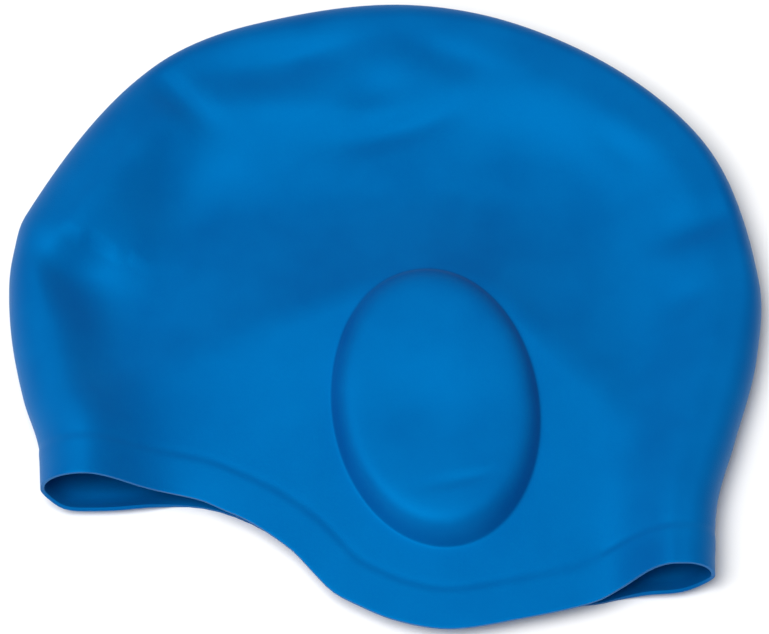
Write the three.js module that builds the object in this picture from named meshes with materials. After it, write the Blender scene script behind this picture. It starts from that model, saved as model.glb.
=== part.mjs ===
// Silicone swim cap with an ear pocket in each cheek, lying on its side as it does when it is put down.
// It is one moulded piece: two cheeks joined at the fold round the crown, and open at the rim.
// Millimetres. +Z is up from the surface it lies on, +Y runs from the rim to the crown, and the
// forehead is at -X and the nape at +X. The origin is under the middle of the cap, on that surface.
import * as THREE from 'three';

// Wall
const WALL = 0.9;
const BAND = { width: 11, ramp: 4, extra: 0.3 };

// The fold line of the lying cap, from the rim at the forehead, round the crown, to the rim at the nape.
// height is how far the line stands off the surface, reach how far in the cheek turns level from it,
// crest how far in its rolled edge starts to drop, and swell how much further in it has dropped.
const FOLD = [
  { x: -102.8, y: -59.4, height: 11, reach: 13, crest: 13, swell: 15 },
  { x: -104.1, y: -45.1, height: 11, reach: 13, crest: 13, swell: 14 },
  { x: -109, y: -30, height: 10.7, reach: 12, crest: 12, swell: 13 },
  { x: -113.2, y: -10, height: 10.6, reach: 12, crest: 12, swell: 13 },
  { x: -114.5, y: 8, height: 10.5, reach: 11, crest: 9, swell: 14 },
  { x: -113.4, y: 19, height: 10.4, reach: 11, crest: 14, swell: 14 },
  { x: -110.6, y: 30.2, height: 10.3, reach: 11, crest: 21, swell: 16 },
  { x: -89.1, y: 64.9, height: 9.5, reach: 11, crest: 18, swell: 17 },
  { x: -68.2, y: 86.1, height: 8.3, reach: 10, crest: 15, swell: 22 },
  { x: -42, y: 98.1, height: 8, reach: 9, crest: 15, swell: 24 },
  { x: 1.3, y: 105.2, height: 8, reach: 9, crest: 15, swell: 24 },
  { x: 38.4, y: 98.9, height: 8, reach: 8, crest: 15, swell: 20 },
  { x: 75.8, y: 78.9, height: 8, reach: 7, crest: 14, swell: 18 },
  { x: 101.3, y: 51.2, height: 8, reach: 6.5, crest: 12, swell: 17 },
  { x: 113.2, y: 10.1, height: 8, reach: 7, crest: 12, swell: 18 },
  { x: 111.5, y: -16.6, height: 8.3, reach: 8, crest: 12, swell: 17 },
  { x: 104.3, y: -42.8, height: 8.8, reach: 8, crest: 12, swell: 16 },
  { x: 98.6, y: -62.2, height: 9.3, reach: 8, crest: 12, swell: 14 },
  { x: 97, y: -80, height: 9.7, reach: 9, crest: 12, swell: 12 },
  { x: 96.8, y: -86.4, height: 9.75, reach: 9, crest: 12, swell: 12 },
];

// The rim from forehead to nape: how far down each cheek reaches, the upper one and the one underneath
const RIM = [
  { x: -102.8, upper: -59.4, under: -59.4 },
  { x: -96.5, upper: -59.3, under: -62.7 },
  { x: -88.8, upper: -59.1, under: -63 },
  { x: -80, upper: -59.2, under: -62.7 },
  { x: -71, upper: -60, under: -61.7 },
  { x: -62, upper: -61.1, under: -60.3 },
  { x: -55, upper: -62.6, under: -60.8 },
  { x: -49, upper: -65.2, under: -62.3 },
  { x: -40.3, upper: -69.3, under: -65.9 },
  { x: -28.3, upper: -77.9, under: -73.6 },
  { x: -22.3, upper: -84.4, under: -80.1 },
  { x: -16.4, upper: -90.7, under: -86.5 },
  { x: -10.4, upper: -94.3, under: -90 },
  { x: 2.5, upper: -99.9, under: -95.7 },
  { x: 19, upper: -102.6, under: -99.3 },
  { x: 42.7, upper: -98.8, under: -95.4 },
  { x: 57, upper: -95.6, under: -92.3 },
  { x: 63, upper: -93.7, under: -91.6 },
  { x: 68.4, upper: -91, under: -90.4 },
  { x: 75.3, upper: -87.6, under: -89.9 },
  { x: 80, upper: -86.4, under: -89.7 },
  { x: 88, upper: -86, under: -89 },
  { x: 96.8, upper: -86.4, under: -86.4 },
];

// How high the upper cheek lies, from the rim up past the pocket, which holds it up
const CHEEK = [
  { y: -103, height: 8.8 },
  { y: -62, height: 10.6 },
  { y: -31, height: 12.8 },
  { y: 11, height: 16.8 },
  { y: 41, height: 17.3 },
  { y: 67, height: 17.6 },
  { y: 103, height: 18 },
];

// Above the pocket the cheek sinks to the crown: where that slope starts and ends, and how far it drops
const SHOULDER = [
  { x: -116, foot: -36, top: 20, drop: 6 },
  { x: -95, foot: -32, top: 20, drop: 7 },
  { x: -76, foot: -25, top: 24, drop: 7.5 },
  { x: -56, foot: -16, top: 32, drop: 8 },
  { x: -14, foot: 2, top: 39, drop: 7.5 },
  { x: 14, foot: 9, top: 40, drop: 7 },
  { x: 32, foot: 4, top: 38, drop: 7 },
  { x: 48, foot: -11, top: 34, drop: 7 },
  { x: 65, foot: -27, top: 26, drop: 6.5 },
  { x: 78, foot: -42, top: 16, drop: 6 },
  { x: 92, foot: -45, top: 8, drop: 5.5 },
  { x: 116, foot: -50, top: 8, drop: 5 },
];
const SHOULDER_CURVE = 1.5;
const FOOT_BLEND = 0.12;

// Ear pocket: an oval pressed out of each cheek, its long way leaning a little. It has a steep wall of
// a given depth, deeper at the ear lobe, and a low dome within. wall, fillet and edge are shares of the
// way from its outline to its middle: how wide the steep part is, how round its foot is, and how far in
// the mesh is fine.
const POCKET = { x: 14.7, y: -33, width: 62, length: 88.6, lean: 7, depth: 5.8, deeper: 2, dome: 1.2 };
const POCKET_SHARES = { wall: 0.09, fillet: 0.01, edge: 0.3 };
// The pocket underneath is pressed flat on the surface, which lifts the cheek round it
const UNDER_LIFT = 1.6;
const LIFT_REACH = 0.55;
// How far in from the fold line the cheek underneath comes down to the surface
const UNDER_REACH = 15;
// How square the turn at the fold line is: 2 is a quarter of an ellipse
const TURN_POWER = 2.2;
// At both mouths the rim underneath curls up: how far, over how much of the cheek, and from where to where
const LIP = { rise: 3.5, reach: 6, forehead: -60, nape: 66, blend: 14 };

// Folds and dents of the upper cheek: where, which way the long side runs (degrees from +X), half the
// length, half the width to the left and to the right of that way, how much the ends bow to its left,
// and how far they rise
const FOLDS = [
  { name: 'forehead trough', x: -33, y: 82.5, turn: 13.5, half: 25, left: 5.5, right: 8, bow: 0, rise: -2.6 },
  { name: 'nape trough', x: 21, y: 84, turn: -20, half: 15, left: 5.5, right: 7, bow: 0, rise: -1.3 },
  { name: 'crown dip', x: -5, y: 73, turn: 28, half: 9, left: 7, right: 5, bow: 0, rise: -0.8 },
  { name: 'crown ridge', x: -22, y: 68, turn: 0, half: 28, left: 6, right: 3.5, bow: 0, rise: 0.5 },
  { name: 'crown crease', x: 1, y: 59.5, turn: 16, half: 20, left: 4, right: 4, bow: 0.005, rise: -1.3 },
  { name: 'upper pinch', x: -63, y: 69, turn: -39, half: 11, left: 4.5, right: 5, bow: 0, rise: -2 },
  { name: 'forehead dent', x: -68, y: 46, turn: 80, half: 15, left: 8, right: 30, bow: 0, rise: -1 },
  { name: 'forehead pinch', x: -98, y: 14, turn: -28, half: 18, left: 6, right: 5, bow: 0, rise: -0.8 },
  { name: 'forehead rise', x: -80, y: -42, turn: 0, half: 22, left: 22, right: 22, bow: 0, rise: 2.5 },
  { name: 'nape pinch', x: 95.5, y: 26.5, turn: 25, half: 13, left: 7, right: 4, bow: 0, rise: -1.6 },
  { name: 'nape wrinkle', x: 90, y: 1.7, turn: 30, half: 9, left: 5, right: 3.5, bow: 0, rise: -0.5 },
  { name: 'shoulder wrinkle', x: 73, y: 52, turn: -45, half: 12, left: 5, right: 5, bow: 0, rise: -0.6 },
  { name: 'pocket crease', x: 21, y: -59, turn: 12.5, half: 9, left: 1.8, right: 2.2, bow: 0, rise: -0.45 },
];

// Mesh: the pocket and what lies round it in closed rings, then arches that run from rim to rim.
// The arches begin on a collar that stands round the pocket, from rim to rim.
const COLLAR = { forehead: -35, nape: 62, leanOut: 25, height: 75 };
const SPOKES = 62;
const RIM_STEPS = 12;
const UPPER = { side: 'upper', plateau: [0.28, 0.5], wallSteps: 5, rings: 4, arches: 12 };
const UNDER = { side: 'under', plateau: [0.5], wallSteps: 3, rings: 3, arches: 9 };
const ARCH_CROWDING = 1.9;
const RING_CROWDING = 1.5;
const FOLD_SAMPLES = 1200;
const RIM_SAMPLES = 160;
const FOLD_RUN_ON = 60;

const last = (list) => list[list.length - 1];
const ease = (t) => {
  const s = Math.min(Math.max(t, 0), 1);
  return s * s * (3 - 2 * s);
};

// A column of a table at a given value of its key, on a smooth curve through the rows
function read(rows, key, column, at) {
  let k = 0;
  while (k < rows.length - 2 && rows[k + 1][key] < at) k += 1;
  const slope = (a, b) => (rows[b][column] - rows[a][column]) / (rows[b][key] - rows[a][key]);
  const span = rows[k + 1][key] - rows[k][key];
  const t = (at - rows[k][key]) / span;
  const start = slope(Math.max(k - 1, 0), k + 1) * span;
  const end = slope(k, Math.min(k + 2, rows.length - 1)) * span;
  const change = rows[k + 1][column] - rows[k][column];
  const bend = 3 * change - 2 * start - end;
  const twist = start + end - 2 * change;
  return rows[k][column] + t * (start + t * (bend + t * twist));
}

// Fold line by its own length
const foldRows = [];
for (const row of FOLD) {
  const before = last(foldRows);
  const along = before ? before.along + Math.hypot(row.x - before.x, row.y - before.y) : 0;
  foldRows.push({ ...row, along });
}
const FOLD_LENGTH = last(foldRows).along;
const FOLD_COLUMNS = ['x', 'y', 'height', 'reach', 'crest', 'swell'];

function foldAt(share) {
  const at = share * FOLD_LENGTH;
  const point = {};
  for (const column of FOLD_COLUMNS) point[column] = read(foldRows, 'along', column, at);
  return point;
}

// The fold line as short steps, run straight on past both ends, for measuring how far in a point lies
const foldSteps = [];
for (let k = 0; k <= FOLD_SAMPLES; k += 1) foldSteps.push(foldAt(k / FOLD_SAMPLES));
function runOn(end, before) {
  const away = new THREE.Vector2(end.x - before.x, end.y - before.y).setLength(FOLD_RUN_ON);
  return { ...end, x: end.x + away.x, y: end.y + away.y };
}
foldSteps.unshift(runOn(foldSteps[0], foldSteps[1]));
foldSteps.push(runOn(last(foldSteps), foldSteps[foldSteps.length - 2]));

// The nearest place on a line of short steps: its distance, and how far along which step it is
function nearest(steps, x, y) {
  let best = { distance: Infinity };
  for (let k = 0; k < steps.length - 1; k += 1) {
    const [a, b] = [steps[k], steps[k + 1]];
    const run = { x: b.x - a.x, y: b.y - a.y };
    const share = ((x - a.x) * run.x + (y - a.y) * run.y) / (run.x * run.x + run.y * run.y);
    const t = Math.min(Math.max(share, 0), 1);
    const distance = Math.hypot(x - a.x - t * run.x, y - a.y - t * run.y);
    if (distance < best.distance) best = { distance, a, b, t };
  }
  return best;
}

// The rim of one cheek, at a place along it and as short steps
const rimAt = (side, x) => new THREE.Vector2(x, read(RIM, 'x', side, x));
const rimSteps = {};
function rimLine(side) {
  if (!rimSteps[side]) {
    rimSteps[side] = [];
    for (let k = 0; k <= RIM_SAMPLES; k += 1) {
      rimSteps[side].push(rimAt(side, THREE.MathUtils.lerp(RIM[0].x, last(RIM).x, k / RIM_SAMPLES)));
    }
  }
  return rimSteps[side];
}

function fromFold(x, y) {
  const { distance, a, b, t } = nearest(foldSteps, x, y);
  const shape = { distance };
  for (const column of FOLD_COLUMNS) shape[column] = a[column] + t * (b[column] - a[column]);
  return shape;
}

// 0 on the fold line, 1 where the cheek has turned level, and a squarish quarter of an ellipse between
function turnOver(distance, reach) {
  const left = Math.max(1 - distance / reach, 0);
  return (1 - left ** TURN_POWER) ** (1 / TURN_POWER);
}

// How far across and up the pocket a point is, from -1 to 1 on either axis
function pocketPlace(x, y) {
  const lean = THREE.MathUtils.degToRad(POCKET.lean);
  const across = (x - POCKET.x) * Math.cos(lean) + (y - POCKET.y) * Math.sin(lean);
  const up = (y - POCKET.y) * Math.cos(lean) - (x - POCKET.x) * Math.sin(lean);
  return { across: across / (POCKET.width / 2), up: up / (POCKET.length / 2) };
}
// 0 at the pocket's middle, 1 on its outline
function pocketShare(x, y) {
  const { across, up } = pocketPlace(x, y);
  return Math.hypot(across, up);
}
// How far the pocket stands out: a steep wall, deepest at the ear lobe, that turns into a low dome
function pocketRise(x, y) {
  const straight = 1 - pocketShare(x, y);
  const inward = (straight + Math.hypot(straight, POCKET_SHARES.fillet)) / 2;
  const depth = POCKET.depth + POCKET.deeper * ease(-pocketPlace(x, y).up);
  return depth * Math.tanh(inward / POCKET_SHARES.wall) + POCKET.dome * inward * (2 - inward);
}

function foldsRise(x, y) {
  let rise = 0;
  for (const fold of FOLDS) {
    const turn = THREE.MathUtils.degToRad(fold.turn);
    const along = (x - fold.x) * Math.cos(turn) + (y - fold.y) * Math.sin(turn);
    const across = (y - fold.y) * Math.cos(turn) - (x - fold.x) * Math.sin(turn) - fold.bow * along * along;
    const width = across > 0 ? fold.left : fold.right;
    rise += fold.rise * Math.exp(-((along / fold.half) ** 2) - (across / width) ** 2);
  }
  return rise;
}

// How far the slope above the pocket has come: 0 below its foot, 1 above its top
function shoulderShare(x, y) {
  const foot = read(SHOULDER, 'x', 'foot', x);
  const top = read(SHOULDER, 'x', 'top', x);
  const straight = (y - foot) / (top - foot);
  const blended = Math.max(straight + FOOT_BLEND, 0) ** 2 / (4 * FOOT_BLEND);
  const share = straight < FOOT_BLEND ? blended : straight;
  return 1 - (1 - Math.min(share, 1)) ** SHOULDER_CURVE;
}

function upperHeight(x, y) {
  const fold = fromFold(x, y);
  const past = Math.max(fold.distance - fold.crest, 0) / fold.swell;
  const roll = Math.exp(-past * past);
  const flat = read(CHEEK, 'y', 'height', y) - read(SHOULDER, 'x', 'drop', x) * shoulderShare(x, y);
  const level = flat * (1 - roll) + 2 * fold.height * roll;
  const cheek = level + foldsRise(x, y) + pocketRise(x, y);
  return fold.height + (cheek - fold.height) * turnOver(fold.distance, fold.reach);
}

function lipRise(x, y) {
  const atMouth = ease((LIP.forehead - x) / LIP.blend) + ease((x - LIP.nape) / LIP.blend);
  const fromRim = nearest(rimLine('under'), x, y).distance;
  return LIP.rise * atMouth * Math.max(1 - fromRim / LIP.reach, 0) ** 2;
}

function underHeight(x, y) {
  const fold = fromFold(x, y);
  const lift = UNDER_LIFT * (1 - ease((pocketShare(x, y) - 1) / LIFT_REACH));
  const pressed = Math.min(pocketRise(x, y) / POCKET.depth, 1);
  const level = turnOver(fold.distance, UNDER_REACH);
  return fold.height * (1 - level) + lift * (1 - pressed) + lipRise(x, y) * level;
}

// Where the mesh lines of one cheek run, seen from above. Spokes are numbered round the pocket: from the
// rim at the forehead over the crown to the rim at the nape, then back along the rim.
function layOut(side) {
  const rimPoint = (x) => rimAt(side, x);
  const start = rimPoint(COLLAR.forehead);
  const end = rimPoint(COLLAR.nape);
  const collar = new THREE.CubicBezierCurve(
    start,
    new THREE.Vector2(COLLAR.forehead - COLLAR.leanOut, COLLAR.height),
    new THREE.Vector2(COLLAR.nape + COLLAR.leanOut, COLLAR.height),
    end,
  );
  const middle = new THREE.Vector2(POCKET.x, POCKET.y);

  // Outermost closed ring: the collar, then the rim under the pocket
  function ringEnd(spoke) {
    if (spoke <= SPOKES) return collar.getPointAt(spoke / SPOKES);
    return rimPoint(THREE.MathUtils.lerp(COLLAR.nape, COLLAR.forehead, (spoke - SPOKES) / RIM_STEPS));
  }
  // A point of the closed rings, at a share of the pocket's outline, or beyond it at a share of the way out
  function onRing(spoke, share, wayOut) {
    const out = ringEnd(spoke);
    const outShare = pocketShare(out.x, out.y);
    const size = share + wayOut * (outShare - 1);
    return middle.clone().lerp(out, size / outShare);
  }
  // A point between the collar (out = 0) and the fold line (out = 1), fitted to the field's four edges
  function onArch(spoke, out) {
    const u = spoke / SPOKES;
    const fold = foldAt(u);
    const [foldStart, foldEnd] = [foldAt(0), foldAt(1)];
    const inner = collar.getPointAt(u);
    const forehead = rimPoint(THREE.MathUtils.lerp(COLLAR.forehead, foldStart.x, out));
    const nape = rimPoint(THREE.MathUtils.lerp(COLLAR.nape, foldEnd.x, out));
    const fit = (axis) => (1 - out) * inner[axis] + out * fold[axis]
      + (1 - u) * (forehead[axis] - (1 - out) * start[axis] - out * foldStart[axis])
      + u * (nape[axis] - (1 - out) * end[axis] - out * foldEnd[axis]);
    return new THREE.Vector2(fit('x'), fit('y'));
  }
  return { onRing, onArch, rim: rimLine(side) };
}

// The outer skin of both cheeks
const points = [];
const bandShares = [];
const triangles = [];
const ROUND = SPOKES + RIM_STEPS;

function addPoint(plan, height, rim) {
  points.push(new THREE.Vector3(plan.x, plan.y, height(plan.x, plan.y)));
  bandShares.push(1 - ease((nearest(rim, plan.x, plan.y).distance - BAND.width) / BAND.ramp));
  return points.length - 1;
}

// Adds one cheek. Its last arch is the fold line, which the second cheek shares with the first.
// Returns the fold line's points and the points along the rim from forehead to nape.
function addCheek(plan, height, sharedFold) {
  const { onRing, onArch, rim } = layOut(plan.side);
  const facesUp = plan.side === 'upper';
  const addTriangle = (a, b, c) => triangles.push(...(facesUp ? [a, b, c] : [a, c, b]));
  const join = (inner, outer, count) => {
    for (let k = 0; k < count; k += 1) {
      const next = (k + 1) % inner.length;
      addTriangle(inner[k], inner[next], outer[next]);
      addTriangle(inner[k], outer[next], outer[k]);
    }
  };

  const shares = [...plan.plateau];
  for (let k = 0; k <= plan.wallSteps; k += 1) {
    shares.push(1 - POCKET_SHARES.edge * (1 - k / plan.wallSteps) ** RING_CROWDING);
  }
  const rings = shares.map((share) => ({ share, wayOut: 0 }));
  for (let k = 1; k <= plan.rings; k += 1) {
    rings.push({ share: 1, wayOut: (k / plan.rings) ** RING_CROWDING });
  }

  const centre = addPoint(onRing(0, 0, 0), height, rim);
  let inner = null;
  for (const ring of rings) {
    const outer = [];
    for (let spoke = 0; spoke < ROUND; spoke += 1) {
      outer.push(addPoint(onRing(spoke, ring.share, ring.wayOut), height, rim));
    }
    if (inner) join(inner, outer, ROUND);
    else outer.forEach((point, k) => addTriangle(centre, outer[(k + 1) % ROUND], point));
    inner = outer;
  }

  const rimPoints = [inner[0], ...inner.slice(SPOKES).reverse()];
  const spokes = Array.from({ length: SPOKES + 1 }, (none, spoke) => spoke);
  inner = inner.slice(0, SPOKES + 1);
  for (let k = 1; k <= plan.arches; k += 1) {
    const out = 1 - (1 - k / plan.arches) ** ARCH_CROWDING;
    const onFold = k === plan.arches && sharedFold;
    const outer = onFold ? sharedFold : spokes.map((spoke) => addPoint(onArch(spoke, out), height, rim));
    join(inner, outer, SPOKES);
    rimPoints.unshift(outer[0]);
    rimPoints.push(outer[SPOKES]);
    inner = outer;
  }
  return { foldLine: inner, rimPoints };
}

const upper = addCheek(UPPER, upperHeight, null);
const under = addCheek(UNDER, underHeight, upper.foldLine);

// The inner skin lies one wall inside the outer one, and the rim joins the two.
// The band at the rim stands out a little, apart from where the cheek underneath lies on the surface.
const skin = new THREE.BufferGeometry().setFromPoints(points);
skin.setIndex([...triangles]);
skin.computeVertexNormals();
const slopes = skin.getAttribute('normal');
const normals = points.map((point, k) => new THREE.Vector3().fromBufferAttribute(slopes, k));
const outer = points.map((point, k) => {
  const showing = Math.min(1 + normals[k].z, 1);
  const outside = point.clone().addScaledVector(normals[k], BAND.extra * bandShares[k] * showing);
  return outside.setZ(Math.max(outside.z, 0));
});
const inner = outer.map((point, k) => {
  return point.clone().addScaledVector(normals[k], -WALL - BAND.extra * bandShares[k]);
});
const outerIndex = [...triangles];
for (let k = 0; k < outerIndex.length; k += 3) {
  const [a, b, c] = outerIndex.slice(k, k + 3).map((point) => point + points.length);
  triangles.push(a, c, b);
}
function closeRim(line) {
  for (let k = 0; k < line.length - 1; k += 1) {
    const [a, b] = [line[k], line[k + 1]];
    const [aInside, bInside] = [a + points.length, b + points.length];
    triangles.push(b, a, aInside, b, aInside, bInside);
  }
}
closeRim(upper.rimPoints);
closeRim([...under.rimPoints].reverse());

const shape = new THREE.BufferGeometry().setFromPoints([...outer, ...inner]);
shape.setIndex(triangles);
shape.computeVertexNormals();
shape.computeBoundingBox();
const box = shape.boundingBox;
shape.translate(-(box.min.x + box.max.x) / 2, -(box.min.y + box.max.y) / 2, 0);

const silicone = new THREE.MeshStandardMaterial({ color: '#0270bc', roughness: 0.45, metalness: 0 });
const cap = new THREE.Mesh(shape, silicone);
cap.name = 'cap';

const group = new THREE.Group();
group.add(cap);
export default group;
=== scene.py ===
import math

import bmesh
import bpy
import numpy as np
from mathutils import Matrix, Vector


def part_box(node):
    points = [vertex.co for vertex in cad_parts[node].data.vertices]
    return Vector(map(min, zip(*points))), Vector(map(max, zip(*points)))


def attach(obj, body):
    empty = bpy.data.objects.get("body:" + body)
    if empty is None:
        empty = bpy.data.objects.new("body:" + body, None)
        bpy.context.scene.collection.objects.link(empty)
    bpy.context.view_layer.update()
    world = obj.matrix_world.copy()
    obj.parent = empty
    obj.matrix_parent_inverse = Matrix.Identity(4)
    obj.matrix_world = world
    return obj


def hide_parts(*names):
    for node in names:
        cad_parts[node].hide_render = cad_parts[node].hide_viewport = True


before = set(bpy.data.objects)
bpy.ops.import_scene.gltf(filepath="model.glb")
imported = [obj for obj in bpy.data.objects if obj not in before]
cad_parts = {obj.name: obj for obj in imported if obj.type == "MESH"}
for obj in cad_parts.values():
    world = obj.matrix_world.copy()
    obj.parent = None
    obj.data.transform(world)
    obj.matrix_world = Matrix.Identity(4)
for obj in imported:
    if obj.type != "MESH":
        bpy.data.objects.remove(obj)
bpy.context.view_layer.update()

# Swim cap: one piece of moulded silicone rubber, two cheeks joined at the fold round the crown and open at
# the rim, where a band is left thicker. It lies flattened on one cheek, as it does when it is put down.
# The tables give the lying cap's sizes in millimetres, and one cheek after the other is laid out from them.

# Fold line from the rim at the forehead, round the crown, to the rim at the nape: how far it stands off
# the floor, how far in the cheek turns level from it, where its rolled edge starts to drop to the rest of
# the cheek, and how much further in it has dropped
FOLD_LINE = [
    {"x": -102.8, "y": -59.4, "height": 11, "reach": 13, "crest": 13, "swell": 15},
    {"x": -104.1, "y": -45.1, "height": 11, "reach": 13, "crest": 13, "swell": 14},
    {"x": -109, "y": -30, "height": 10.7, "reach": 12, "crest": 12, "swell": 13},
    {"x": -113.2, "y": -10, "height": 10.6, "reach": 12, "crest": 12, "swell": 13},
    {"x": -114.5, "y": 8, "height": 10.5, "reach": 10, "crest": 8, "swell": 13},
    {"x": -113.4, "y": 19, "height": 10.4, "reach": 9.5, "crest": 10, "swell": 13},
    {"x": -110.6, "y": 30.2, "height": 10.3, "reach": 11, "crest": 13, "swell": 14},
    {"x": -89.1, "y": 64.9, "height": 9.5, "reach": 11, "crest": 16, "swell": 15},
    {"x": -68.2, "y": 86.1, "height": 8.3, "reach": 7, "crest": 15, "swell": 22},
    {"x": -42, "y": 98.1, "height": 8, "reach": 8, "crest": 15, "swell": 24},
    {"x": 1.3, "y": 105.2, "height": 8, "reach": 8, "crest": 15, "swell": 24},
    {"x": 38.4, "y": 98.9, "height": 8, "reach": 6.5, "crest": 15, "swell": 20},
    {"x": 75.8, "y": 78.9, "height": 8, "reach": 5.5, "crest": 13, "swell": 17},
    {"x": 101.3, "y": 51.2, "height": 8, "reach": 5.5, "crest": 11, "swell": 16},
    {"x": 113.2, "y": 10.1, "height": 8, "reach": 6, "crest": 12, "swell": 18},
    {"x": 111.5, "y": -16.6, "height": 8.3, "reach": 8, "crest": 12, "swell": 17},
    {"x": 104.3, "y": -42.8, "height": 8.8, "reach": 8, "crest": 12, "swell": 16},
    {"x": 98.6, "y": -62.2, "height": 9.3, "reach": 8, "crest": 12, "swell": 14},
    {"x": 97, "y": -80, "height": 9.7, "reach": 9, "crest": 12, "swell": 12},
    {"x": 96.8, "y": -86.4, "height": 9.75, "reach": 9, "crest": 12, "swell": 12},
]

# Rim from forehead to nape: how far down the cheek on top reaches, and the one underneath
RIM = [
    {"x": -102.8, "upper": -59.4, "under": -59.4},
    {"x": -96.5, "upper": -59.3, "under": -62.7},
    {"x": -88.8, "upper": -59.1, "under": -63},
    {"x": -80, "upper": -59.2, "under": -62.7},
    {"x": -71, "upper": -60, "under": -61.7},
    {"x": -62, "upper": -61.1, "under": -60.3},
    {"x": -55, "upper": -62.6, "under": -60.8},
    {"x": -49, "upper": -65.2, "under": -62.3},
    {"x": -40.3, "upper": -69.3, "under": -65.9},
    {"x": -28.3, "upper": -77.9, "under": -73.6},
    {"x": -22.3, "upper": -84.4, "under": -80.1},
    {"x": -16.4, "upper": -90.7, "under": -86.5},
    {"x": -10.4, "upper": -94.3, "under": -90},
    {"x": 2.5, "upper": -99.9, "under": -95.7},
    {"x": 19, "upper": -102.6, "under": -99.3},
    {"x": 42.7, "upper": -98.8, "under": -95.4},
    {"x": 57, "upper": -95.6, "under": -92.3},
    {"x": 63, "upper": -93.7, "under": -91.6},
    {"x": 68.4, "upper": -91, "under": -90.4},
    {"x": 75.3, "upper": -87.6, "under": -89.9},
    {"x": 80, "upper": -86.4, "under": -89.7},
    {"x": 88, "upper": -86, "under": -89},
    {"x": 96.8, "upper": -86.4, "under": -86.4},
]

# How high the upper cheek lies from the rim up past the pocket, which holds it up
CHEEK = [
    {"y": -103, "height": 8.8},
    {"y": -62, "height": 10.6},
    {"y": -31, "height": 12.8},
    {"y": 11, "height": 16.8},
    {"y": 41, "height": 17.3},
    {"y": 67, "height": 17.6},
    {"y": 103, "height": 18},
]

# Above the pocket the cheek sinks to the crown: where that slope starts and ends, and how far it drops
SHOULDER = [
    {"x": -116, "foot": -36, "top": 20, "drop": 6},
    {"x": -95, "foot": -32, "top": 20, "drop": 7},
    {"x": -76, "foot": -25, "top": 24, "drop": 7.5},
    {"x": -56, "foot": -16, "top": 32, "drop": 8},
    {"x": -14, "foot": 2, "top": 39, "drop": 7.5},
    {"x": 14, "foot": 9, "top": 40, "drop": 7},
    {"x": 32, "foot": 4, "top": 38, "drop": 7},
    {"x": 48, "foot": -11, "top": 34, "drop": 7},
    {"x": 65, "foot": -27, "top": 26, "drop": 6.5},
    {"x": 78, "foot": -42, "top": 16, "drop": 6},
    {"x": 92, "foot": -45, "top": 8, "drop": 5.5},
    {"x": 116, "foot": -50, "top": 8, "drop": 5},
]
SHOULDER_CURVE = 1.5
FOOT_BLEND = 0.12

# Folds and dents of the upper cheek: place, which way the long side runs in degrees from +X, half the
# length, half the width on the left and on the right of that way, how much the ends bow to its left,
# and how far they rise
FOLD_COLUMNS = ("name", "x", "y", "turn", "half", "left", "right", "bow", "rise")
FOLDS = [
    ("forehead trough", -33, 82.5, 13.5, 25, 5.5, 8, 0, -2.6),
    ("nape trough", 21, 84, -20, 15, 5.5, 7, 0, -1.3),
    ("crown dip", -5, 73, 28, 9, 7, 5, 0, -0.8),
    ("crown ridge", -22, 68, 0, 28, 6, 3.5, 0, 0.5),
    ("crown crease", 1, 59.5, 16, 20, 4, 4, 0.005, -1.3),
    ("upper pinch", -63, 69, -39, 11, 4.5, 5, 0, -2),
    ("forehead dent", -66, 44, 78, 16, 8, 26, 0, -1.3),
    ("forehead shelf", -79, 22, 60, 16, 14, 10, 0, 3.4),
    ("forehead lip", -98, -62, 0, 14, 9, 9, 0, 1.3),
    ("forehead pinch", -101, 13, -28, 14, 5, 5, 0, -0.9),
    ("forehead rise", -80, -42, 0, 22, 22, 22, 0, 2.5),
    ("nape pinch", 95.5, 26.5, 25, 13, 7, 4, 0, -1.6),
    ("nape wrinkle", 90, 1.7, 30, 9, 5, 3.5, 0, -0.5),
    ("shoulder wrinkle", 73, 52, -45, 12, 5, 5, 0, -0.6),
    ("pocket dip", 12, -35, 0, 14, 15, 15, 0, -1),
    ("pocket crease", 21, -59, 12.5, 9, 1.8, 2.2, 0, -0.45),
]

# Wall, rim band, and the ear pocket pressed out of each cheek
WALL = 0.9
BAND = {"width": 11, "ramp": 2, "extra": 0.25, "groove": 0.07, "groove_half": 1.2}
POCKET = {"x": 14.7, "y": -33, "width": 62, "length": 88.6, "lean": 7, "wall": 0.09, "fillet": 0.01,
          "depth": 5.8, "deeper": 2, "dome": 1.2, "edge": 0.3}
# Both cheeks turn over into the fold, the one underneath from UNDER_REACH in. That one is lifted a little
# round its own pocket, which is pressed flat, out to LIFT_REACH pocket sizes beyond it
TURN_POWER = 2.2
UNDER_REACH = 15
UNDER_LIFT = 1.6
LIFT_REACH = 0.55
# At both mouths the rim underneath curls up off the floor
LIP = {"rise": 3.5, "reach": 6, "forehead": -60, "nape": 66, "blend": 14}
# Both lines are measured from in short steps, and the fold's is run on straight past its ends
FOLD_SAMPLES = 1600
RIM_SAMPLES = 300
FOLD_RUN_ON = 60


def ease(share):
    s = np.clip(share, 0, 1)
    return s * s * (3 - 2 * s)


def read(rows, key, column, at):
    """A column of a table at given values of its key, on a smooth curve through the rows."""
    keys = np.array([row[key] for row in rows], float)
    values = np.array([row[column] for row in rows], float)
    k = np.clip(np.searchsorted(keys, at) - 1, 0, len(rows) - 2)

    def slope(a, b):
        return (values[b] - values[a]) / (keys[b] - keys[a])

    span = keys[k + 1] - keys[k]
    t = (at - keys[k]) / span
    start = slope(np.maximum(k - 1, 0), k + 1) * span
    end = slope(k, np.minimum(k + 2, len(rows) - 1)) * span
    change = values[k + 1] - values[k]
    return values[k] + t * (start + t * (3 * change - 2 * start - end + t * (start + end - 2 * change)))


along = 0
for k, row in enumerate(FOLD_LINE):
    if k > 0:
        along += math.hypot(row["x"] - FOLD_LINE[k - 1]["x"], row["y"] - FOLD_LINE[k - 1]["y"])
    row["along"] = along
FOLD_LENGTH = along


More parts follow.
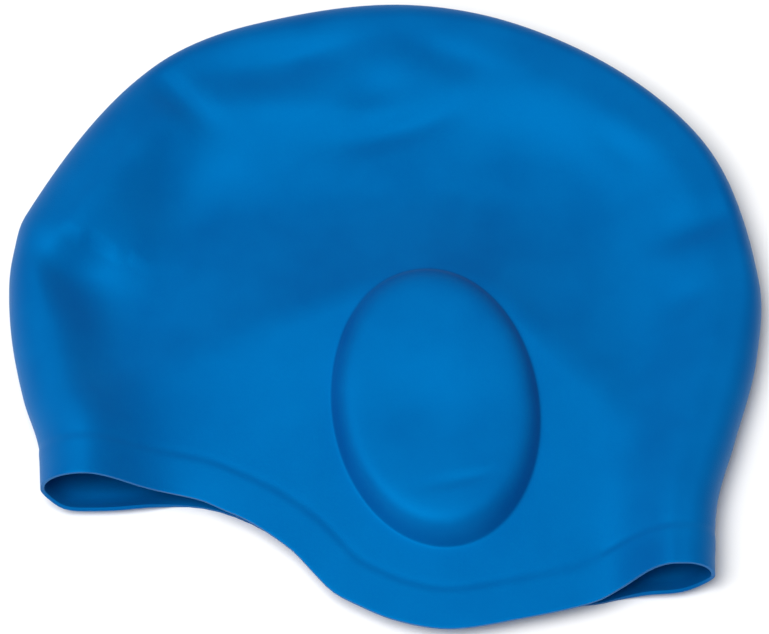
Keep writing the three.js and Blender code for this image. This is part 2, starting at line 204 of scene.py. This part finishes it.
def fold_at(share, column):
    """A column of the fold line's table, at shares of its length."""
    return read(FOLD_LINE, "along", column, np.asarray(share) * FOLD_LENGTH)


# The fold line's steps, with one more at each end
steps = np.linspace(0, 1, FOLD_SAMPLES + 1)
fold_steps = {column: fold_at(steps, column) for column in ("x", "y", "height", "reach", "crest", "swell")}
for last, inward in ((0, 1), (-1, -2)):
    away = np.array([fold_steps["x"][last] - fold_steps["x"][inward],
                     fold_steps["y"][last] - fold_steps["y"][inward]])
    away *= FOLD_RUN_ON / np.linalg.norm(away)
    for column, values in fold_steps.items():
        on = {"x": away[0], "y": away[1]}.get(column, 0)
        far_end = values[last] + on
        fold_steps[column] = np.insert(values, 0, far_end) if last == 0 else np.append(values, far_end)


def nearest(line, x, y):
    """How far points are from a line of short steps, and which step is nearest and how far along it."""
    start = np.stack([line["x"][:-1], line["y"][:-1]], 1)
    run = np.diff(np.stack([line["x"], line["y"]], 1), axis=0)
    distance = np.full(len(x), np.inf)
    step = np.zeros(len(x), int)
    share = np.zeros(len(x))
    for k in range(len(run)):
        dx, dy = x - start[k, 0], y - start[k, 1]
        t = np.clip((dx * run[k, 0] + dy * run[k, 1]) / (run[k] @ run[k]), 0, 1)
        gap = np.hypot(dx - t * run[k, 0], dy - t * run[k, 1])
        closer = gap < distance
        distance = np.where(closer, gap, distance)
        step = np.where(closer, k, step)
        share = np.where(closer, t, share)
    return distance, step, share


def turn_over(distance, reach):
    """0 on an edge, 1 where the sheet has turned level, and a quarter of a squarish ellipse between."""
    left = np.clip(1 - distance / reach, 0, 1)
    return (1 - left ** TURN_POWER) ** (1 / TURN_POWER)


def pocket_place(x, y):
    """How far across and up the pocket a point is: from -1 to 1 on either axis."""
    lean = math.radians(POCKET["lean"])
    dx, dy = x - POCKET["x"], y - POCKET["y"]
    across = dx * math.cos(lean) + dy * math.sin(lean)
    up = dy * math.cos(lean) - dx * math.sin(lean)
    return across / (POCKET["width"] / 2), up / (POCKET["length"] / 2)


def pocket_share(x, y):
    """0 at the pocket's middle, 1 on its outline."""
    return np.hypot(*pocket_place(x, y))


def pocket_rise(x, y):
    """How far the pocket stands out: a steep wall, deepest at the ear lobe, that turns into a low dome."""
    inward = 1 - pocket_share(x, y)
    inward = (inward + np.sqrt(inward ** 2 + POCKET["fillet"] ** 2)) / 2
    depth = POCKET["depth"] + POCKET["deeper"] * ease(-pocket_place(x, y)[1])
    return depth * np.tanh(inward / POCKET["wall"]) + POCKET["dome"] * inward * (2 - inward)


def folds_rise(x, y):
    """How far all the folds and dents together raise a point."""
    rise = np.zeros(len(x))
    for row in FOLDS:
        fold = dict(zip(FOLD_COLUMNS, row))
        turn = math.radians(fold["turn"])
        dx, dy = x - fold["x"], y - fold["y"]
        long_way = dx * math.cos(turn) + dy * math.sin(turn)
        across = dy * math.cos(turn) - dx * math.sin(turn) - fold["bow"] * long_way ** 2
        width = np.where(across > 0, fold["left"], fold["right"])
        rise += fold["rise"] * np.exp(-(long_way / fold["half"]) ** 2 - (across / width) ** 2)
    return rise


rim_x = np.linspace(RIM[0]["x"], RIM[-1]["x"], RIM_SAMPLES)
rim_lines = {side: {"x": rim_x, "y": read(RIM, "x", side, rim_x)} for side in ("upper", "under")}


def lip_rise(x, y):
    """How far the rim underneath is curled up."""
    at_mouth = ease((LIP["forehead"] - x) / LIP["blend"]) + ease((x - LIP["nape"]) / LIP["blend"])
    from_rim = nearest(rim_lines["under"], x, y)[0]
    return LIP["rise"] * at_mouth * np.clip(1 - from_rim / LIP["reach"], 0, 1) ** 2


def height(side, x, y):
    """How high a point of the upper cheek, or of the one underneath, lies."""
    distance, step, share = nearest(fold_steps, x, y)
    at = {c: v[step] + share * (v[step + 1] - v[step]) for c, v in fold_steps.items()}
    if side == "under":
        lift = UNDER_LIFT * (1 - ease((pocket_share(x, y) - 1) / LIFT_REACH))
        lift *= 1 - np.minimum(pocket_rise(x, y) / POCKET["depth"], 1)
        level = turn_over(distance, UNDER_REACH)
        return at["height"] * (1 - level) + lift + lip_rise(x, y) * level
    foot, top = read(SHOULDER, "x", "foot", x), read(SHOULDER, "x", "top", x)
    climb = (y - foot) / (top - foot)
    climb = np.where(climb < FOOT_BLEND, (np.maximum(climb + FOOT_BLEND, 0)) ** 2 / (4 * FOOT_BLEND), climb)
    climb = 1 - (1 - np.minimum(climb, 1)) ** SHOULDER_CURVE
    roll = np.exp(-(np.maximum(distance - at["crest"], 0) / at["swell"]) ** 2)
    flat = read(CHEEK, "y", "height", y) - read(SHOULDER, "x", "drop", x) * climb
    rolled = 2 * at["height"]
    level = flat * (1 - roll) + rolled * roll
    cheek = level + folds_rise(x, y) + pocket_rise(x, y)
    return at["height"] + (cheek - at["height"]) * turn_over(distance, at["reach"])


# Each cheek starts as a flat strip of faces: across it run the spokes round the pocket, and up it run the
# closed rings round the pocket, then the arches that stand on the rim and end at the fold line
SPOKES = 212
RIM_STEPS = 40
ROUND = SPOKES + RIM_STEPS
MESH = {"upper": {"wall_rings": 14, "rings": 50, "arches": 56},
        "under": {"wall_rings": 8, "rings": 20, "arches": 24}}
# Arches crowd towards the fold, spokes towards the rim, and rings towards the pocket's wall
CROWDING = 1.9
RIM_CROWDING = 0.5
WALL_CROWDING = 1.5
RING_CROWDING = 1.5
# The last closed ring is an arch from rim to rim round the pocket
COLLAR = {"forehead": -35, "nape": 62, "lean_out": 25, "height": 75}
COLLAR_SAMPLES = 400
STRIP_WELD = 0.001
SIDES_OF_FILL = 4


def collar(share, start, end):
    """The Bezier arch that stands round the pocket from rim to rim, by its own length."""
    lift = np.array([COLLAR["lean_out"], COLLAR["height"]])
    corners = np.array([start, (start[0] - lift[0], lift[1]), (end[0] + lift[0], lift[1]), end])
    t = np.linspace(0, 1, COLLAR_SAMPLES)[:, None]
    line = ((1 - t) ** 3 * corners[0] + 3 * t * (1 - t) ** 2 * corners[1]
            + 3 * t * t * (1 - t) * corners[2] + t ** 3 * corners[3])
    length = np.insert(np.cumsum(np.hypot(*np.diff(line, axis=0).T)), 0, 0)
    return np.stack([np.interp(share * length[-1], length, line[:, axis]) for axis in (0, 1)], 1)


def lay_out(side, spoke, ring):
    """Where the strip's points go, seen from above."""
    def rim(x):
        return np.stack([x, read(RIM, "x", side, x)], 1)

    wall_rings, rings, arches = MESH[side].values()
    start, end = rim(np.array([COLLAR["forehead"], COLLAR["nape"]], float))
    fold_ends = np.stack([fold_at([0, 1], "x"), fold_at([0, 1], "y")], 1)
    u = np.minimum(spoke / SPOKES, 1)[:, None]
    u = u - RIM_CROWDING * np.sin(2 * math.pi * u) / (2 * math.pi)
    inner = collar(u[:, 0], start, end)
    back = np.clip((spoke - SPOKES) / RIM_STEPS, 0, 1)
    outline = np.where(spoke[:, None] <= SPOKES, inner,
                       rim(COLLAR["nape"] + back * (COLLAR["forehead"] - COLLAR["nape"])))
    middle = np.array([POCKET["x"], POCKET["y"]])
    outline_share = pocket_share(outline[:, 0], outline[:, 1])
    on_wall = 1 - POCKET["edge"] * np.clip(1 - ring / wall_rings, 0, 1) ** WALL_CROWDING
    beyond = np.clip((ring - wall_rings) / (rings - wall_rings), 0, 1) ** RING_CROWDING
    size = on_wall + beyond * (outline_share - 1)
    closed = middle + (outline - middle) * (size / outline_share)[:, None]

    out = (1 - (1 - np.clip((ring - rings) / arches, 0, 1)) ** CROWDING)[:, None]
    fold = np.stack([fold_at(u[:, 0], "x"), fold_at(u[:, 0], "y")], 1)
    forehead = rim(COLLAR["forehead"] + out[:, 0] * (fold_ends[0, 0] - COLLAR["forehead"]))
    nape = rim(COLLAR["nape"] + out[:, 0] * (fold_ends[1, 0] - COLLAR["nape"]))
    arched = ((1 - out) * inner + out * fold
              + (1 - u) * (forehead - (1 - out) * start - out * fold_ends[0])
              + u * (nape - (1 - out) * end - out * fold_ends[1]))
    return np.where(ring[:, None] > rings, arched, closed)


def points_of(mesh):
    """A mesh's points, one row for each."""
    points = np.zeros(len(mesh.vertices) * 3, np.float32)
    mesh.vertices.foreach_get("co", points)
    return points.reshape(-1, 3).astype(float)


def move_points(mesh, points):
    mesh.vertices.foreach_set("co", points.astype(np.float32).ravel())
    mesh.update()


def select_edges(mesh, wanted):
    """In edit mode, selects the edges that pass a test, and nothing else."""
    bpy.ops.mesh.select_all(action="DESELECT")
    shape = bmesh.from_edit_mesh(mesh)
    for edge in shape.edges:
        if wanted(edge):
            edge.select = True
    bmesh.update_edit_mesh(mesh)


def make_cheek(side):
    """One cheek as a sheet with no thickness, at its height over the floor."""
    rings = MESH[side]["rings"]
    bpy.ops.object.select_all(action="DESELECT")
    bpy.ops.mesh.primitive_grid_add(x_subdivisions=ROUND, y_subdivisions=rings, size=2)
    cheek = bpy.context.object
    strip = points_of(cheek.data)
    strip[:, 0] = np.round((strip[:, 0] + 1) / 2 * ROUND)
    strip[:, 1] = np.round((strip[:, 1] + 1) / 2 * rings)
    move_points(cheek.data, strip)

    # The arches are drawn up out of the part of the last ring that the spokes reach
    bpy.ops.object.mode_set(mode="EDIT")
    bpy.ops.mesh.select_mode(type="EDGE")

    def under_arches(edge):
        return all(v.co.y > rings - 0.5 and v.co.x < SPOKES + 0.5 for v in edge.verts)

    select_edges(cheek.data, under_arches)
    for _ in range(MESH[side]["arches"]):
        bpy.ops.mesh.extrude_region_move(TRANSFORM_OT_translate={"value": (0, 1, 0)})
    bpy.ops.object.mode_set(mode="OBJECT")

    # The strip is laid round the pocket, its two ends are joined, and the pocket's flat middle is filled
    strip = points_of(cheek.data)
    plan = lay_out(side, strip[:, 0], strip[:, 1])
    move_points(cheek.data, np.column_stack([plan, np.zeros(len(plan))]))
    bpy.ops.object.mode_set(mode="EDIT")
    bpy.ops.mesh.select_all(action="SELECT")
    bpy.ops.mesh.remove_doubles(threshold=STRIP_WELD)
    hole_edge = 1 - POCKET["edge"] / 2

    def on_hole(edge):
        return edge.is_boundary and all(pocket_share(v.co.x, v.co.y) < hole_edge for v in edge.verts)

    select_edges(cheek.data, on_hole)
    bpy.ops.mesh.fill_grid(span=ROUND // SIDES_OF_FILL)
    bpy.ops.object.mode_set(mode="OBJECT")

    flat = points_of(cheek.data)
    flat[:, 2] = height(side, flat[:, 0], flat[:, 1])
    move_points(cheek.data, flat)
    return cheek


SEAM_WELD = 0.01
upper = make_cheek("upper")
under = make_cheek("under")
bpy.ops.object.select_all(action="DESELECT")
upper.select_set(True)
under.select_set(True)
bpy.context.view_layer.objects.active = upper
bpy.ops.object.join()
cap = upper
cap.name = "swim_cap"
bpy.ops.object.mode_set(mode="EDIT")
bpy.ops.mesh.select_all(action="SELECT")
bpy.ops.mesh.remove_doubles(threshold=SEAM_WELD)
bpy.ops.mesh.normals_make_consistent(inside=False)
bpy.ops.object.mode_set(mode="OBJECT")

# The band along the rim stands out a little behind a fine line, and its wall is thicker. All that lies
# higher than BETWEEN is on the upper cheek
BETWEEN = 8
skin = points_of(cap.data)
band = np.ones(len(skin))
groove = np.zeros(len(skin))
for side, rim_line in rim_lines.items():
    from_rim = nearest(rim_line, skin[:, 0], skin[:, 1])[0]
    share = 1 - ease((from_rim - BAND["width"]) / BAND["ramp"])
    band = share if side == "upper" else np.where(skin[:, 2] > BETWEEN, band, share)
    if side == "upper":
        groove = np.exp(-((from_rim - BAND["width"] - BAND["ramp"]) / BAND["groove_half"]) ** 2)
normals = np.zeros(len(skin) * 3, np.float32)
cap.data.vertex_normals.foreach_get("vector", normals)
normals = normals.reshape(-1, 3)
showing = np.clip(1 + normals[:, 2], 0, 1)
skin += normals * ((BAND["extra"] * band - BAND["groove"] * groove) * showing)[:, None]
skin[:, 2] = np.maximum(skin[:, 2], 0)
MM = 0.001
move_points(cap.data, skin * MM)
band_group = cap.vertex_groups.new(name="band")
for k, share in enumerate(band):
    band_group.add([k], float(share), "REPLACE")


def apply_modifier(kind, **settings):
    """Adds a modifier to the cap and makes it part of its mesh."""
    modifier = cap.modifiers.new(kind.lower(), kind)
    for name, value in settings.items():
        setattr(modifier, name, value)
    bpy.ops.object.select_all(action="DESELECT")
    cap.select_set(True)
    bpy.context.view_layer.objects.active = cap
    bpy.ops.object.modifier_apply(modifier=modifier.name)


RIM_ROUNDING = 0.3
full_wall = WALL + BAND["extra"]
apply_modifier("SOLIDIFY", thickness=full_wall * MM, offset=-1, use_even_offset=True, use_rim=True,
               vertex_group="band", thickness_vertex_group=WALL / full_wall)
apply_modifier("BEVEL", width=RIM_ROUNDING * MM, segments=3, limit_method="ANGLE",
               angle_limit=math.radians(60))
bpy.ops.object.shade_smooth()

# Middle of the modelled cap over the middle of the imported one
lowest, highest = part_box("cap")
skin = points_of(cap.data)
for axis in (0, 1):
    skin[:, axis] += (lowest[axis] + highest[axis] - skin[:, axis].min() - skin[:, axis].max()) / 2
move_points(cap.data, skin)

# Silicone rubber, moulded in one colour all through. The mould's fine grain makes it satin, and soft clouds
# and a few specks of dust keep it from looking like one flat colour
def linear(colour):
    """An sRGB hex colour as the linear colour that the shader takes."""
    parts = [int(colour[k:k + 2], 16) / 255 for k in (1, 3, 5)]
    return [c / 12.92 if c <= 0.04045 else ((c + 0.055) / 1.055) ** 2.4 for c in parts] + [1]


def add_node(tree, kind, inputs, **settings):
    """Adds a node: each input is linked where it is given another node's socket, and set where it isn't."""
    node = tree.nodes.new("ShaderNode" + kind)
    for name, value in settings.items():
        setattr(node, name, value)
    for name, value in inputs.items():
        if isinstance(value, bpy.types.NodeSocket):
            tree.links.new(value, node.inputs[name])
        else:
            node.inputs[name].default_value = value
    return node


GRAIN_SIZE = 0.35 * MM
CLOUD_SIZE = 22 * MM
DUST_SPACING = 13 * MM
DUST_SHARE = 0.06
DUST_SIZE = 0.022
silicone = bpy.data.materials.new("moulded_silicone")
silicone.use_nodes = True
tree = silicone.node_tree
shader = tree.nodes["Principled BSDF"]
on_cap = add_node(tree, "TexCoord", {}).outputs["Object"]

# Clouds: where the rubber is a little thicker it looks a little deeper in colour
clouds = add_node(tree, "TexNoise", {"Vector": on_cap, "Scale": 1 / CLOUD_SIZE, "Detail": 3,
                                     "Roughness": 0.45})
cloud_share = add_node(tree, "MapRange", {"Value": clouds.outputs["Fac"],
                                          "From Min": 0.35, "From Max": 0.65})
# A Mix node has sockets of the same name for each kind of value: these are its colours' ones
FROM_COLOUR, TO_COLOUR, MIXED_COLOUR = 6, 7, 2
colour = add_node(tree, "Mix", {"Factor": cloud_share.outputs["Result"], FROM_COLOUR: linear("#0059a1"),
                                TO_COLOUR: linear("#0060a8")}, data_type="RGBA")

# Dust: a few pale specks, one in some of the cells
cells = add_node(tree, "TexVoronoi", {"Vector": on_cap, "Scale": 1 / DUST_SPACING})
near = add_node(tree, "Math", {0: cells.outputs["Distance"], 1: DUST_SIZE}, operation="LESS_THAN")
chosen = add_node(tree, "Math", {0: cells.outputs["Color"], 1: DUST_SHARE}, operation="LESS_THAN")
dust = add_node(tree, "Math", {0: near.outputs[0], 1: chosen.outputs[0]}, operation="MULTIPLY")
dusty = add_node(tree, "Mix", {"Factor": dust.outputs[0], FROM_COLOUR: colour.outputs[MIXED_COLOUR],
                               TO_COLOUR: linear("#8fbfe8")}, data_type="RGBA")
tree.links.new(dusty.outputs[MIXED_COLOUR], shader.inputs["Base Color"])

# Satin: the mould's grain, really finer than a pixel, is drawn at about a pixel so that it shows at all
grain = add_node(tree, "TexNoise", {"Vector": on_cap, "Scale": 1 / GRAIN_SIZE, "Detail": 1})
bump = add_node(tree, "Bump", {"Height": grain.outputs["Fac"], "Distance": 0.05 * MM, "Strength": 1})
tree.links.new(bump.outputs["Normal"], shader.inputs["Normal"])
rough = add_node(tree, "MapRange", {"Value": clouds.outputs["Fac"], "From Min": 0.3, "From Max": 0.7,
                                    "To Min": 0.5, "To Max": 0.58})
tree.links.new(rough.outputs["Result"], shader.inputs["Roughness"])
shader.inputs["IOR"].default_value = 1.41
shader.inputs["Metallic"].default_value = 0.2
shader.inputs["Specular IOR Level"].default_value = 0.7
shader.inputs["Specular Tint"].default_value = linear("#00e4ff")
shader.inputs["Subsurface Weight"].default_value = 0.1
shader.inputs["Subsurface Radius"].default_value = (0.1, 0.5, 1)
shader.inputs["Subsurface Scale"].default_value = 1.2 * MM
shader.inputs["Sheen Weight"].default_value = 0.05
shader.inputs["Sheen Roughness"].default_value = 0.35
shader.inputs["Sheen Tint"].default_value = linear("#bcdaff")
cap.data.materials.clear()
cap.data.materials.append(silicone)

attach(cap, "root")
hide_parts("cap")

# Floor: a plain pale studio surface
bpy.ops.mesh.primitive_plane_add(size=8)
floor = bpy.context.object
floor.name = "floor"
paper = bpy.data.materials.new("pale_paper")
paper.use_nodes = True
paper_shader = paper.node_tree.nodes["Principled BSDF"]
paper_shader.inputs["Base Color"].default_value = linear("#fafafa")
paper_shader.inputs["Roughness"].default_value = 0.9
paper_shader.inputs["Specular IOR Level"].default_value = 0
floor.data.materials.append(paper)

# Soft studio light: a pale room, and one large lamp overhead, on the side of the rim and the forehead
world = bpy.data.worlds.new("studio")
bpy.context.scene.world = world
world.use_nodes = True
world.node_tree.nodes["Background"].inputs["Color"].default_value = (1, 1, 1, 1)
world.node_tree.nodes["Background"].inputs["Strength"].default_value = 0.32


def area_light(name, stand, aim, size, power):
    """A soft box that shines from one place at another."""
    lamp = bpy.data.lights.new(name, "AREA")
    lamp.shape = "RECTANGLE"
    lamp.size, lamp.size_y = size
    lamp.energy = power
    holder = bpy.data.objects.new(name, lamp)
    bpy.context.scene.collection.objects.link(holder)
    holder.location = stand
    holder.rotation_euler = (Vector(aim) - Vector(stand)).to_track_quat("-Z", "Y").to_euler()
    return holder


area_light("overhead", (-0.35, -0.32, 1.4), (0, 0, 0), (0.9, 0.9), 22)
area_light("side", (-1.5, 0, 0.9), (0, 0, 0), (1, 1), 1)

# Camera: looks along +Y and down at the lying cap, as in the photograph
IMAGE = {"width": 769, "height": 634}
ELEVATION = 65
DISTANCE = 1.5
AIM = (-0.00025, 0.0013, 0)
SEEN_WIDTH = 0.2345
camera_data = bpy.data.cameras.new("camera")
camera = bpy.data.objects.new("camera", camera_data)
bpy.context.scene.collection.objects.link(camera)
camera_data.sensor_width = 36
camera_data.lens = camera_data.sensor_width * DISTANCE / SEEN_WIDTH
tilt = math.radians(ELEVATION)
camera.location = (AIM[0], AIM[1] - DISTANCE * math.cos(tilt), AIM[2] + DISTANCE * math.sin(tilt))
camera.rotation_euler = (math.pi / 2 - tilt, 0, 0)
bpy.context.scene.camera = camera
bpy.context.scene.view_settings.view_transform = "Standard"
